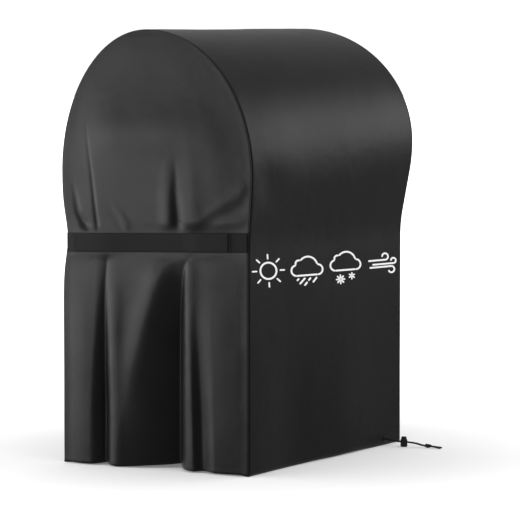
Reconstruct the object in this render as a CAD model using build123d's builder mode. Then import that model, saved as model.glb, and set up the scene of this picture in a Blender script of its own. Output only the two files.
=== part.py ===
"""Fitted cover for a cart grill: a wrap panel over the front, top and back, two arched end
gussets, a hem channel with a drawcord, side straps with hook-and-loop ends, and four weather prints.

Frame: origin on the ground under the middle of the cover, +X along its length, -Y towards its
front, +Z up. All sizes are in millimetres.
"""

from build123d import *
from math import cos, hypot, pi, radians, sin, tan
import os

# ---------------------------------------------------------------- driving dimensions
LENGTH = 788.0  # along X, outside the gussets
DEPTH = 534.0  # along Y at the hem
HEIGHT = 1092.0
CLOTH = 2.0  # solid thickness that stands for the coated cloth
SEAM_GAP = 0.2  # between a gusset's edge and the wrap panel around it

WAIST_Z = 545.0  # the walls are upright below this
APEX_BACK = 26.0  # the top leans back by this much
BULGE_LEFT = (277.0, 738.0)  # half depth at the fullest place and its height, left end
BULGE_RIGHT = (302.0, 797.0)  # the same at the right end

HEM_HEIGHT = 30.0
HEM_THICK = 7.0
HEM_WALL = 1.2
HEM_CORNER = 3.0  # outside corner radius
CORD_CORNER = 14.0  # the drawcord's bend at each corner of the hem

TAPE_WIDTH = 14.0
TAPE_THICK = 0.8

CORD = 4.0  # drawcord diameter
CORD_SIDE = 2.2  # each strand lies this far to its side of the middle
EXIT_X = 312.0
EXIT_Z = 16.0
EYELET_HOLE = 5.2
EYELET_BARREL = 6.0
EYELET_FLANGE = 9.5
EYELET_FLANGE_THICK = 1.2
EXIT_BEND = 4.0
STRAND_GAP = 0.7  # keeps the tilted ends of the free strands off the drawcord's square ends

STRAP_WIDTH = 48.0
STRAP_THICK = 1.6
STRAP_Z = 566.0  # middle of the strap at the middle of the gusset
STRAP_RISE = 0.03  # slope of the strap, up towards the front
STRAP_FRONT_END = -213.0  # along the strap, the free end
STRAP_HINGE = -148.0  # where the free end starts to peel
STRAP_REAR_END = 263.0
STRAP_FOLD = 16.0  # folded and sewn rear end
TAB_END = -140.0
PAD_THICK = 1.3
PEEL_GAP = 0.3  # between the closed hook and loop faces
HINGE_GAP = 0.8
PAD_MARGIN = 3.0

LOCK_BARREL = 9.0  # radius
LOCK_BASE = 0.4
LOCK_TOP = 20.0
LOCK_FLOOR = 2.2
LOCK_CAVITY = 7.08
PLUNGER = 7.0  # radius
PLUNGER_TOP = 27.0
PLUNGER_BOTTOM = 8.7
LOCK_BORE_Z = 13.0  # the cords' height in the lock
LOCK_HOLE_WIDE = 10.4
LOCK_HOLE_TALL = 8.4
PINCH = 2.5  # from the cords' middle to the edges that grip them
SPRING_RADIUS = 4.6
SPRING_WIRE = 0.35
SPRING_TURNS = 4

PRINT_THICK = 0.4
PRINT_UNIT = 2.65  # millimetres to a unit of the prints' artwork
PRINT_STRETCH = 1.95  # the prints are drawn out along the cover
PRINT_LINE = 1.75  # width of a printed stroke, in artwork units
SUN_RING = 7.6  # middle radius of the sun's ring, in artwork units

half_length = LENGTH / 2
half_depth = DEPTH / 2
channel_mid = half_depth - HEM_THICK / 2

os.makedirs("parts", exist_ok=True)


def save(part, name):
    """Labels a finished piece and writes its file."""
    part.label = name
    export_step(part, f"parts/{name}.step")


# ---------------------------------------------------------------- panels
def blend_bulge(x):
    """Half depth and height of the fullest place at x, between the two ends."""
    share = (x + half_length) / LENGTH
    half = BULGE_LEFT[0] + share * (BULGE_RIGHT[0] - BULGE_LEFT[0])
    level = BULGE_LEFT[1] + share * (BULGE_RIGHT[1] - BULGE_LEFT[1])
    return half, level


def end_outline(x, inset, bottom, mode=Mode.ADD):
    """The cover's end view at x, drawn inset millimetres inside its outer face."""
    half, level = blend_bulge(x)
    foot = half_depth - inset
    wide = half - inset
    rise = HEIGHT - inset - level
    with BuildLine() as outline:
        Line((-foot, bottom), (-foot, WAIST_Z))
        Line((-foot, WAIST_Z), (-wide, level))
        EllipticalCenterArc((APEX_BACK, level), wide + APEX_BACK, rise, 90, arc_size=90)
        EllipticalCenterArc((APEX_BACK, level), wide - APEX_BACK, rise, 0, arc_size=90)
        Line((wide, level), (foot, WAIST_Z))
        Line((foot, WAIST_Z), (foot, bottom))
        Line((foot, bottom), (-foot, bottom))
    make_face(outline.edges(), mode=mode)


with BuildPart() as main_panel:
    for end_x in (-half_length, half_length):
        with BuildSketch(Plane.YZ.offset(end_x)):
            end_outline(end_x, 0, HEM_HEIGHT)
            end_outline(end_x, CLOTH, HEM_HEIGHT, Mode.SUBTRACT)
    loft()
save(main_panel.part, "main_panel")

for side, name in ((-1, "left"), (1, "right")):
    outer_x = side * half_length
    inward = -side

    with BuildPart() as gusset:
        with BuildSketch(Plane.YZ.offset(outer_x)):
            end_outline(outer_x, CLOTH + SEAM_GAP, HEM_HEIGHT)
        extrude(amount=inward * CLOTH)
    save(gusset.part, f"{name}_gusset")

    tape_x = outer_x + inward * CLOTH
    with BuildPart() as seam_tape:
        with BuildSketch(Plane.YZ.offset(tape_x)):
            end_outline(tape_x, CLOTH + SEAM_GAP, HEM_HEIGHT)
            end_outline(tape_x, CLOTH + TAPE_WIDTH, HEM_HEIGHT, Mode.SUBTRACT)
        extrude(amount=inward * TAPE_THICK)
    save(seam_tape.part, f"{name}_seam_tape")

# ---------------------------------------------------------------- hem channel
corner_reach = CORD_CORNER + HEM_THICK / 2  # the inner corners share the drawcord's bend centre


def hem_ring(inset, corner_radius):
    """A rounded rectangle, inset from the cover's outer faces."""
    RectangleRounded(LENGTH - 2 * inset, DEPTH - 2 * inset, corner_radius)


def hem_piece(cut_x, cut_y, size_x, size_y, eyelet=False):
    """One stretch of the folded hem, hollow for the drawcord."""
    with BuildPart() as piece:
        with BuildSketch():
            hem_ring(0, HEM_CORNER)
            with BuildSketch(mode=Mode.SUBTRACT):
                hem_ring(HEM_THICK, corner_reach - HEM_THICK)
        extrude(amount=HEM_HEIGHT)
        with BuildSketch(Plane.XY.offset(HEM_WALL)):
            hem_ring(HEM_WALL, HEM_CORNER - HEM_WALL)
            with BuildSketch(mode=Mode.SUBTRACT):
                inner_wall = HEM_THICK - HEM_WALL
                hem_ring(inner_wall, corner_reach - inner_wall)
        extrude(amount=HEM_HEIGHT - 2 * HEM_WALL, mode=Mode.SUBTRACT)
        with BuildSketch(Plane.XY):
            with Locations((cut_x, cut_y)):
                Rectangle(size_x, size_y)
        extrude(amount=HEM_HEIGHT, mode=Mode.INTERSECT)
        if eyelet:
            with BuildSketch(Plane.XZ.offset(half_depth - 2 * HEM_WALL)):
                with Locations((EXIT_X, EXIT_Z)):
                    Circle(EYELET_BARREL)
            extrude(amount=3 * HEM_WALL, mode=Mode.SUBTRACT)
    return piece.part


end_strip = corner_reach  # the front and back stretches turn the corners
long_side = DEPTH - 2 * end_strip
strip_y = half_depth - end_strip / 2
save(hem_piece(0, -strip_y, LENGTH, end_strip, eyelet=True), "hem_front")
save(hem_piece(0, strip_y, LENGTH, end_strip), "hem_back")
save(hem_piece(-half_length / 2, 0, half_length, long_side), "hem_left")
save(hem_piece(half_length / 2, 0, half_length, long_side), "hem_right")

with BuildPart() as cord_eyelet:
    with BuildSketch(Plane.XZ.offset(half_depth)):
        with Locations((EXIT_X, EXIT_Z)):
            Circle(EYELET_FLANGE)
            Circle(EYELET_HOLE, mode=Mode.SUBTRACT)
    extrude(amount=EYELET_FLANGE_THICK)
    with BuildSketch(Plane.XZ.offset(half_depth - HEM_WALL)):
        with Locations((EXIT_X, EXIT_Z)):
            Circle(EYELET_BARREL)
            Circle(EYELET_HOLE, mode=Mode.SUBTRACT)
    extrude(amount=HEM_WALL)
    flange_rim = cord_eyelet.edges().filter_by(GeomType.CIRCLE).group_by(Axis.Y)[0]
    fillet(flange_rim, EYELET_FLANGE_THICK / 3)
save(cord_eyelet.part, "cord_eyelet")

# ---------------------------------------------------------------- drawcord
exit_y = -half_depth - EYELET_FLANGE_THICK


def bend_radii(points):
    """The largest arc at each corner: 0.45 of the shorter run over the tangent of half the turn."""
    radii = []
    for before, corner, after in zip(points, points[1:], points[2:]):
        arriving = Vector(corner) - Vector(before)
        leaving = Vector(after) - Vector(corner)
        shorter = min(arriving.length, leaving.length)
        radii.append(0.45 * shorter / tan(radians(arriving.get_angle(leaving)) / 2))
    return radii


def cord_tube(points, radii, name):
    """A round cord along straight runs joined by arcs."""
    with BuildPart() as tube:
        with BuildLine() as route:
            FilletPolyline(*points, radius=radii)
        with BuildSketch(Plane(origin=route.line @ 0, z_dir=route.line % 0)):
            Circle(CORD / 2)
        sweep(path=route.line)
    length = route.wires()[0].length
    drawn = pi * (CORD / 2) ** 2 * length
    print(name, "length", round(length, 1), "volume share", round(tube.part.volume / drawn, 4))
    print("  radii", [round(r, 1) for r in radii])
    return tube.part


# Inside the hem the cord goes once round, and both its ends turn out through the eyelet.
channel_x = half_length - HEM_THICK / 2
hem_route = [
    (EXIT_X - CORD_SIDE, exit_y, EXIT_Z),
    (EXIT_X - CORD_SIDE, -channel_mid, EXIT_Z),
    (-channel_x, -channel_mid, EXIT_Z),
    (-channel_x, channel_mid, EXIT_Z),
    (channel_x, channel_mid, EXIT_Z),
    (channel_x, -channel_mid, EXIT_Z),
    (EXIT_X + CORD_SIDE, -channel_mid, EXIT_Z),
    (EXIT_X + CORD_SIDE, exit_y, EXIT_Z),
]
hem_radii = [EXIT_BEND] + [CORD_CORNER] * 4 + [EXIT_BEND]
save(cord_tube(hem_route, hem_radii, "drawcord_in_hem"), "drawcord_in_hem")

# The free ends: out of the eyelet, through the lock, down to the ground, a knot, and two short tails.
strand_y = exit_y - STRAND_GAP
strand_a = [
    (309.8, strand_y, 16.0),
    (301.3, -297.0, 13.0),
    (303.8, -356.0, 13.0),
    (309.5, -382.0, 5.2),
    (315.0, -405.0, 5.0),
    (309.0, -431.0, 2.3),
]
strand_b = [
    (314.2, strand_y, 16.0),
    (305.7, -297.0, 13.0),
    (308.2, -356.0, 13.0),
    (314.2, -382.0, 5.2),
    (319.8, -404.0, 5.0),
    (322.5, -429.0, 2.3),
]
strands = []
for strand, name in ((strand_a, "drawcord_strand_a"), (strand_b, "drawcord_strand_b")):
    strands.append(cord_tube(strand, bend_radii(strand), name))
    save(strands[-1], name)

# The knot is a rounded lump round both strands, between their fourth and fifth points.
knot_start = (Vector(strand_a[3]) + Vector(strand_b[3])) / 2
knot_end = (Vector(strand_a[4]) + Vector(strand_b[4])) / 2
knot_way = (knot_end - knot_start).normalized()
KNOT_LENGTH = 16.0
KNOT_RADIUS = 5.6
KNOT_END_RADIUS = 4.4
knot_side = knot_way.cross(Vector(0, 0, 1))
knot_plane = Plane(origin=(knot_start + knot_end) / 2, x_dir=knot_way, z_dir=knot_side)
with BuildPart() as cord_knot:
    with BuildSketch(knot_plane):
        with BuildLine():
            ThreePointArc(
                (-KNOT_LENGTH / 2, KNOT_END_RADIUS), (0, KNOT_RADIUS), (KNOT_LENGTH / 2, KNOT_END_RADIUS)
            )
            Line((KNOT_LENGTH / 2, KNOT_END_RADIUS), (KNOT_LENGTH / 2, 0))
            Line((KNOT_LENGTH / 2, 0), (-KNOT_LENGTH / 2, 0))
            Line((-KNOT_LENGTH / 2, 0), (-KNOT_LENGTH / 2, KNOT_END_RADIUS))
        make_face()
    revolve(axis=Axis(knot_plane.origin, knot_way))
    end_rims = cord_knot.edges().filter_by(GeomType.CIRCLE)
    fillet(end_rims, KNOT_END_RADIUS / 2)
    for strand in strands:
        add(strand, mode=Mode.SUBTRACT)
save(cord_knot.part, "cord_knot")

# ---------------------------------------------------------------- cord lock
lock_start = (Vector(strand_a[1]) + Vector(strand_b[1])) / 2
lock_end = (Vector(strand_a[2]) + Vector(strand_b[2])) / 2
lock_way = (lock_end - lock_start).normalized()
lock_middle = (lock_start + lock_end) / 2
lock_foot = Vector(lock_middle.X, lock_middle.Y, 0)
print("lock axis", lock_way, "lock middle", lock_middle)
lock_plane = Plane(origin=lock_foot, x_dir=lock_way, z_dir=(0, 0, 1))  # local X along the cords


def cord_window(low, high):
    """The oval cross hole that both strands pass through, cut along the cords."""
    across = Plane(origin=lock_foot, x_dir=Vector(0, 0, 1).cross(lock_way), z_dir=lock_way)
    middle = lock_foot + Vector(0, 0, (low + high) / 2)
    with BuildSketch(Plane(origin=middle, x_dir=across.x_dir, z_dir=lock_way)) as window:
        RectangleRounded(LOCK_HOLE_WIDE, high - low, 1.6)
    extrude(window.sketch, amount=2 * LOCK_BARREL, both=True, mode=Mode.SUBTRACT)


with BuildPart() as cord_lock_barrel:
    with BuildSketch(lock_plane.offset(LOCK_BASE)):
        Circle(LOCK_BARREL)
    extrude(amount=LOCK_TOP - LOCK_BASE)
    rims = cord_lock_barrel.edges().filter_by(GeomType.CIRCLE)
    fillet(rims.sort_by(Axis.Z)[0], 2.2)
    fillet(rims.sort_by(Axis.Z)[-1], 1.2)
    with BuildSketch(lock_plane.offset(LOCK_FLOOR)):
        Circle(LOCK_CAVITY)
    extrude(amount=LOCK_TOP, mode=Mode.SUBTRACT)
    cord_window(LOCK_BORE_Z + PINCH - LOCK_HOLE_TALL, LOCK_BORE_Z + PINCH)
save(cord_lock_barrel.part, "cord_lock_barrel")

with BuildPart() as cord_lock_plunger:
    with BuildSketch(lock_plane.offset(PLUNGER_BOTTOM)):
        Circle(PLUNGER)
    extrude(amount=PLUNGER_TOP - PLUNGER_BOTTOM)
    fillet(cord_lock_plunger.edges().filter_by(GeomType.CIRCLE).sort_by(Axis.Z)[-1], 2.4)
    cord_window(LOCK_BORE_Z - PINCH, LOCK_BORE_Z - PINCH + LOCK_HOLE_TALL)
save(cord_lock_plunger.part, "cord_lock_plunger")

spring_base = LOCK_FLOOR + SPRING_WIRE + 0.1
spring_height = PLUNGER_BOTTOM - LOCK_FLOOR - 2 * SPRING_WIRE - 0.2
with BuildPart() as cord_lock_spring:
    with BuildLine():
        coil = Helix(
            pitch=spring_height / SPRING_TURNS,
            height=spring_height,
            radius=SPRING_RADIUS,
            center=(lock_foot.X, lock_foot.Y, spring_base),
        )
    with BuildSketch(Plane(origin=coil @ 0, z_dir=coil % 0)):
        Circle(SPRING_WIRE)
    sweep(path=coil)
save(cord_lock_spring.part, "cord_lock_spring")

# ---------------------------------------------------------------- side straps
strap_run = hypot(1, STRAP_RISE)
strap_back = Vector(0, 1, -STRAP_RISE) / strap_run  # along the strap, towards the back


def strap_plane(side, lift):
    """A plane lift millimetres outside a gusset: local X runs back along the strap, local Y is its width."""
    origin = Vector(side * (half_length + lift), 0, STRAP_Z)
    return Plane(origin=origin, x_dir=strap_back, z_dir=(side, 0, 0))


def strap_layer(side, start, end, lift, thick, width=STRAP_WIDTH, rounding=0.0):
    """A flat strip of strap between two places along it."""
    with BuildSketch(strap_plane(side, lift)) as layer:
        with Locations(((start + end) / 2, 0)):
            if rounding:
                RectangleRounded(abs(end - start), width, rounding)
            else:
                Rectangle(abs(end - start), width)
    extrude(layer.sketch, amount=thick)


tab_lift = 0.0
loop_lift = tab_lift + STRAP_THICK
hook_lift = loop_lift + PAD_THICK + PEEL_GAP
band_lift = hook_lift + PAD_THICK
hinge_lift = band_lift + STRAP_THICK
pad_width = STRAP_WIDTH - 2 * PAD_MARGIN

for side, name in ((-1, "left"), (1, "right")):
    with BuildPart() as strap_tab:
        strap_layer(side, -STRAP_REAR_END, TAB_END, tab_lift, STRAP_THICK)
    save(strap_tab.part, f"{name}_strap_tab")

    with BuildPart() as loop_pad:
        pad_start = STRAP_FRONT_END - PAD_MARGIN
        strap_layer(side, pad_start, TAB_END - PAD_MARGIN, loop_lift, PAD_THICK, pad_width)
    save(loop_pad.part, f"{name}_loop_pad")

    with BuildPart() as strap_end:
        strap_layer(side, STRAP_FRONT_END, STRAP_HINGE, band_lift, STRAP_THICK)
        tip = strap_end.edges().filter_by(Axis.X).group_by(Axis.Y)[0]
        fillet(tip, 4.0)
    save(strap_end.part, f"{name}_strap_end")

    with BuildPart() as hook_pad:
        pad_start = STRAP_FRONT_END + PAD_MARGIN
        strap_layer(side, pad_start, STRAP_HINGE - 2 * PAD_MARGIN, hook_lift, PAD_THICK, pad_width)
    save(hook_pad.part, f"{name}_hook_pad")

    with BuildPart() as strap_band:
        strap_layer(side, STRAP_HINGE + HINGE_GAP, STRAP_REAR_END, band_lift, STRAP_THICK)
        fold_start = STRAP_REAR_END - STRAP_FOLD
        strap_layer(side, fold_start, STRAP_REAR_END, tab_lift, band_lift - tab_lift)
    save(strap_band.part, f"{name}_strap_band")

hinge_point = strap_plane(-1, hinge_lift).from_local_coords(Vector(STRAP_HINGE + HINGE_GAP / 2, 0, 0))
print("left hinge", hinge_point, "axis", strap_plane(-1, 0).y_dir)

# ---------------------------------------------------------------- weather prints
print_plane = Plane.XZ.offset(half_depth)


def laid(point):
    """A place in the artwork's units, stretched along the cover, in millimetres."""
    return point[0] * PRINT_UNIT * PRINT_STRETCH, point[1] * PRINT_UNIT


def lobe(centre, radius, mode=Mode.ADD):
    """A round lobe, stretched along the cover."""
    with Locations(laid(centre)):
        Ellipse(radius * PRINT_UNIT * PRINT_STRETCH, radius * PRINT_UNIT, mode=mode)


def bar(start, end, width=PRINT_LINE):
    """A straight stroke with round ends."""
    run = hypot(end[0] - start[0], end[1] - start[1])
    side_x = -(end[1] - start[1]) / run * width / 2
    side_z = (end[0] - start[0]) / run * width / 2
    corners = [
        (start[0] + side_x, start[1] + side_z),
        (start[0] - side_x, start[1] - side_z),
        (end[0] - side_x, end[1] - side_z),
        (end[0] + side_x, end[1] + side_z),
    ]
    with BuildLine() as stroke:
        Polyline(*[laid(corner) for corner in corners], close=True)
    make_face(stroke.edges())
    lobe(start, width / 2)
    lobe(end, width / 2)


CLOUD_LOBES = (((-10.2, -1.6), 5.0), ((10.6, -1.6), 4.85), ((0.9, 1.7), 9.3))
CLOUD_BASE = -6.6


def cloud(rise=0.0):
    """A cloud's outline: lobes and a flat base, hollowed by a stroke's width."""
    for grow, mode in ((PRINT_LINE / 2, Mode.ADD), (-PRINT_LINE / 2, Mode.SUBTRACT)):
        with BuildSketch() as shape:
            for centre, radius in CLOUD_LOBES:
                lobe((centre[0], centre[1] + rise), radius + grow)
            wide = CLOUD_LOBES[1][0][0] - CLOUD_LOBES[0][0][0]
            with Locations(laid((0, rise + (CLOUD_BASE - grow) / 2))):
                Rectangle(*laid((wide, grow - CLOUD_BASE)))
        add(shape.sketch, mode=mode)


def flake(centre, radius, spokes, width):
    """A snowflake of crossed bars."""
    for k in range(spokes):
        turn = radians(90 + 180 * k / spokes)
        reach_x, reach_z = (radius - width / 2) * cos(turn), (radius - width / 2) * sin(turn)
        start = (centre[0] - reach_x, centre[1] - reach_z)
        bar(start, (centre[0] + reach_x, centre[1] + reach_z), width)


def gust(tail_x, bend_x, level, radius, up):
    """A wind line that ends in an open curl."""
    bar((tail_x, level), (bend_x, level))
    middle = (bend_x, level + up * radius)
    with BuildSketch(mode=Mode.PRIVATE) as curl:
        lobe(middle, radius + PRINT_LINE / 2)
        lobe(middle, radius - PRINT_LINE / 2, Mode.SUBTRACT)
        with Locations(laid((bend_x - 2 * radius, level + up * radius / 2))):
            Rectangle(*laid((4 * radius, radius + PRINT_LINE)), mode=Mode.SUBTRACT)
    add(curl.sketch)


def sun_icon():
    lobe((0, 0), SUN_RING + PRINT_LINE / 2)
    lobe((0, 0), SUN_RING - PRINT_LINE / 2, Mode.SUBTRACT)
    for k in range(8):
        turn = radians(45 * k)
        way = (cos(turn), sin(turn))
        bar((11.2 * way[0], 11.2 * way[1]), (15.0 * way[0], 15.0 * way[1]), 1.5)


def rain_icon():
    cloud()
    drops = (((-9.3, -11.5), (-8.3, -10.4)), ((-6.6, -14.6), (-2.2, -9.7)), ((-2.0, -16.0), (0.0, -13.6)))
    drops += (((1.9, -11.2), (3.3, -9.5)), ((6.3, -12.9), (9.4, -9.0)))
    for start, end in drops:
        bar(start, end)


def snow_icon():
    cloud(2.7)
    flake((-4.6, -13.0), 5.0, 4, 1.5)
    flake((6.9, -9.6), 3.7, 3, 1.4)


def wind_icon():
    gust(-13.0, 3.2, 3.7, 3.2, 1)
    gust(-9.0, 11.6, 0.6, 2.6, 1)
    gust(-11.5, 10.0, -2.9, 3.1, -1)


PRINTS = (
    ("sun_print", sun_icon, -297.0, 500.0),
    ("rain_cloud_print", rain_icon, -106.0, 494.0),
    ("snow_cloud_print", snow_icon, 91.0, 487.0),
    ("wind_print", wind_icon, 291.0, 479.0),
)
for name, icon, icon_x, icon_z in PRINTS:
    with BuildPart() as weather_print:
        with BuildSketch(print_plane.shift_origin((icon_x, -half_depth, icon_z))):
            icon()
        extrude(amount=PRINT_THICK)
    save(weather_print.part, name)
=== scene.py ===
from math import cos, exp, hypot, log, pi, radians, sin

import bmesh
import bpy
from mathutils import Matrix, Vector, noise


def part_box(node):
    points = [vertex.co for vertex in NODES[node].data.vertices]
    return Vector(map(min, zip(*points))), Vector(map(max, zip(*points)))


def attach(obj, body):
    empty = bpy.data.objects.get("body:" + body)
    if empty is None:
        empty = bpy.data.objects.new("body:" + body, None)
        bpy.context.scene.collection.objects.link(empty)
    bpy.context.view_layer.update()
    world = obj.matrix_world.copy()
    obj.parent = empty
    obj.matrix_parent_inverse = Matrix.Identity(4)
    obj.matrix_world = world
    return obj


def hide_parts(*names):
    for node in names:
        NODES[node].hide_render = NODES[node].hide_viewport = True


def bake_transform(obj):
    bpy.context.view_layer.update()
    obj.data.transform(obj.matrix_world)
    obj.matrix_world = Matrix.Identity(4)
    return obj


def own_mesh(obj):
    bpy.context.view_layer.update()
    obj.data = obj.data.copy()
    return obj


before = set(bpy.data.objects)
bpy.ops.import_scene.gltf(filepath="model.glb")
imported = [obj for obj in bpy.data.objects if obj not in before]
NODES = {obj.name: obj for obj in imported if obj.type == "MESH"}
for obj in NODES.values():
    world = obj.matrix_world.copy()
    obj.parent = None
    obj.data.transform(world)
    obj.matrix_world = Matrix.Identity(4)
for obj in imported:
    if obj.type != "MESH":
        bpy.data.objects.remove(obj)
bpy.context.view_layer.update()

# A fitted cover for a cart grill: one wrap panel over front, top and back, two arched end
# gussets with a strap across each, a drawcord hem and four weather prints. Metres, +Z up.

# ---- sizes, from the frame
panel_low, panel_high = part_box("main_panel")
hem_low, hem_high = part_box("hem_front")
HALF_LENGTH = panel_high[0]
LENGTH = 2 * HALF_LENGTH
HALF_DEPTH = -hem_low[1]
HEIGHT = panel_high[2]
HEM_HEIGHT = hem_high[2]

BULGE_LEFT = (0.277, 0.738)  # half depth at the fullest place and its height, left end
BULGE_RIGHT = (panel_high[1], 0.797)  # the same, right end
APEX_BACK = 0.026  # the top leans back by this much
WAIST = 0.545  # the walls are upright below this
BACK_SPREAD = 0.007  # the back wall stands this much further out
CLOTH = 0.0009  # thickness

eyelet_low, eyelet_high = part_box("cord_eyelet")
EYELET_X = (eyelet_low[0] + eyelet_high[0]) / 2
EYELET_Z = (eyelet_low[2] + eyelet_high[2]) / 2

STRAP_WIDTH = 0.048
STRAP_THICK = 0.0016
STRAP_Z = 0.566
STRAP_RISE = 0.03  # slope of the strap, up towards the front
STRAP_FREE_END = -0.213

# ---- small helpers


def clamp(value, low=0.0, high=1.0):
    return min(max(value, low), high)


def smooth(value):
    """0 to 1 with a soft start and finish."""
    value = clamp(value)
    return value * value * (3 - 2 * value)


def mix(a, b, share):
    return a + (b - a) * share


def hump(distance, width):
    """1 at the middle, falling away softly."""
    return exp(-((distance / width) ** 2))


def sway(x, y, scale, seed):
    """Slow random waves between about -1 and 1."""
    return noise.noise(Vector((x * scale + seed, y * scale - seed, seed * 1.7)))


# ---- camera and cords first
CAMERA_PLACE = Vector((-7.152, -4.271, 1.111))
CAMERA_TURN = radians(59.56)  # from +Y towards +X
CAMERA_TILT = radians(4.21)  # below level
CAMERA_LENS = 224.2  # on a 36 mm frame


def add_camera():
    data = bpy.data.cameras.new("camera")
    data.lens = CAMERA_LENS
    data.sensor_width = 36.0
    data.clip_end = 100.0
    camera = bpy.data.objects.new("camera", data)
    bpy.context.scene.collection.objects.link(camera)
    level = cos(CAMERA_TILT)
    way = Vector((sin(CAMERA_TURN) * level, cos(CAMERA_TURN) * level, -sin(CAMERA_TILT)))
    camera.location = CAMERA_PLACE
    camera.rotation_euler = way.to_track_quat("-Z", "Y").to_euler()
    bpy.context.scene.camera = camera


add_camera()

CORD_DIAMETER = 0.004
STRAND_A = [
    (0.3098, -0.2689, 0.0160),
    (0.3013, -0.2970, 0.0130),
    (0.3038, -0.3560, 0.0130),
    (0.3095, -0.3820, 0.0052),
    (0.3150, -0.4050, 0.0050),
    (0.3090, -0.4310, 0.0023),
]
STRAND_B = [
    (0.3142, -0.2689, 0.0160),
    (0.3057, -0.2970, 0.0130),
    (0.3082, -0.3560, 0.0130),
    (0.3142, -0.3820, 0.0052),
    (0.3198, -0.4040, 0.0050),
    (0.3225, -0.4290, 0.0023),
]


def add_cord(name, points):
    """A smooth round cord along a route."""
    data = bpy.data.curves.new(name, "CURVE")
    data.dimensions = "3D"
    data.bevel_depth = CORD_DIAMETER / 2
    data.bevel_resolution = 4
    data.resolution_u = 12
    data.use_fill_caps = True
    line = data.splines.new("NURBS")
    line.points.add(len(points) - 1)
    for point, place in zip(line.points, points):
        point.co = (*place, 1.0)
    line.order_u = 3
    line.use_endpoint_u = True
    obj = bpy.data.objects.new(name, data)
    bpy.context.scene.collection.objects.link(obj)
    return obj


def cord_line(points):
    """Points along a cord's smooth route."""
    route = add_cord("route", points)
    route.data.bevel_depth = 0
    route.data.use_fill_caps = False
    mesh = bpy.data.meshes.new_from_object(route)
    line = [v.co.copy() for v in mesh.vertices]
    bpy.data.objects.remove(route)
    bpy.data.meshes.remove(mesh)
    return line


strand_a = add_cord("cord_end_a", STRAND_A)
strand_b = add_cord("cord_end_b", STRAND_B)

# ---- materials


def node(tree, kind, **settings):
    made = tree.nodes.new(kind)
    for name, value in settings.items():
        setattr(made, name, value)
    return made


def math_node(tree, operation, first, second=None):
    made = node(tree, "ShaderNodeMath", operation=operation)
    for socket, value in zip(made.inputs, (first, second)):
        if isinstance(value, bpy.types.NodeSocket):
            tree.links.new(value, socket)
        elif value is not None:
            socket.default_value = value
    return made.outputs[0]


def new_group(name, inputs, outputs):
    """A shader node group with named float sockets, Place being a vector."""
    group = bpy.data.node_groups.new(name, "ShaderNodeTree")
    for label in inputs:
        kind = "NodeSocketVector" if label == "Place" else "NodeSocketFloat"
        group.interface.new_socket(label, in_out="INPUT", socket_type=kind)
    for label in outputs:
        group.interface.new_socket(label, in_out="OUTPUT", socket_type="NodeSocketFloat")
    return group, node(group, "NodeGroupInput"), node(group, "NodeGroupOutput")


def weave_group():
    """Plain weave: threads over and under, Count of them to the metre."""
    group, start, end = new_group("plain_weave", ("Place", "Count"), ("Height",))
    split = node(group, "ShaderNodeSeparateXYZ")
    group.links.new(start.outputs["Place"], split.inputs[0])
    turns = []
    for axis in ("X", "Y"):
        turn = math_node(group, "MULTIPLY", split.outputs[axis], start.outputs["Count"])
        turns.append(math_node(group, "MULTIPLY", turn, pi))
    over = math_node(group, "SINE", turns[0])
    under = math_node(group, "SINE", turns[1])
    crossing = math_node(group, "MULTIPLY", over, under)
    crowns = [math_node(group, "ABSOLUTE", thread) for thread in (over, under)]
    rounded = math_node(group, "ADD", *crowns)
    height = math_node(group, "ADD", crossing, math_node(group, "MULTIPLY", rounded, 0.6))
    group.links.new(height, end.inputs["Height"])
    return group


def rumple_group():
    """Soft creases that handling leaves in coated cloth, and slow colour drift."""
    group, start, end = new_group("rumpled_cloth", ("Place",), ("Height", "Drift"))
    heights = []
    for scale, stretch, share in ((5.0, 0.6, 1.0), (17.0, 1.2, 0.35), (60.0, 0.8, 0.1)):
        waves = node(group, "ShaderNodeTexNoise")
        waves.inputs["Scale"].default_value = scale
        waves.inputs["Detail"].default_value = 2.0
        waves.inputs["Distortion"].default_value = stretch
        group.links.new(start.outputs["Place"], waves.inputs["Vector"])
        heights.append(math_node(group, "MULTIPLY", waves.outputs["Fac"], share))
    total = math_node(group, "ADD", math_node(group, "ADD", heights[0], heights[1]), heights[2])
    group.links.new(total, end.inputs["Height"])
    group.links.new(heights[0], end.inputs["Drift"])
    return group


WEAVE = weave_group()
RUMPLE = rumple_group()


def add_group(tree, group, place=None, **values):
    made = node(tree, "ShaderNodeGroup", node_tree=group)
    if place is not None:
        tree.links.new(place, made.inputs["Place"])
    for label, value in values.items():
        made.inputs[label].default_value = value
    return made


def new_material(name, roughness, **constants):
    """A material with its Principled shader, whose constant values sit on its own sockets."""
    material = bpy.data.materials.new(name)
    material.use_nodes = True
    shader = material.node_tree.nodes["Principled BSDF"]
    shader.inputs["Roughness"].default_value = roughness
    for label, value in constants.items():
        shader.inputs[label.replace("_", " ")].default_value = value
    return material, material.node_tree, shader


def spread(tree, value, low, high, shader_input):
    """Feeds a value, spread between low and high, to a shader's socket."""
    if shader_input.type == "RGBA":
        ramp = node(tree, "ShaderNodeMix", data_type="RGBA")
        ramp.inputs["A"].default_value = (*low, 1)
        ramp.inputs["B"].default_value = (*high, 1)
        tree.links.new(value, ramp.inputs["Factor"])
        tree.links.new(ramp.outputs["Result"], shader_input)
        return
    ramp = node(tree, "ShaderNodeMapRange")
    ramp.inputs["To Min"].default_value = low
    ramp.inputs["To Max"].default_value = high
    tree.links.new(value, ramp.inputs["Value"])
    tree.links.new(ramp.outputs["Result"], shader_input)


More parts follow.
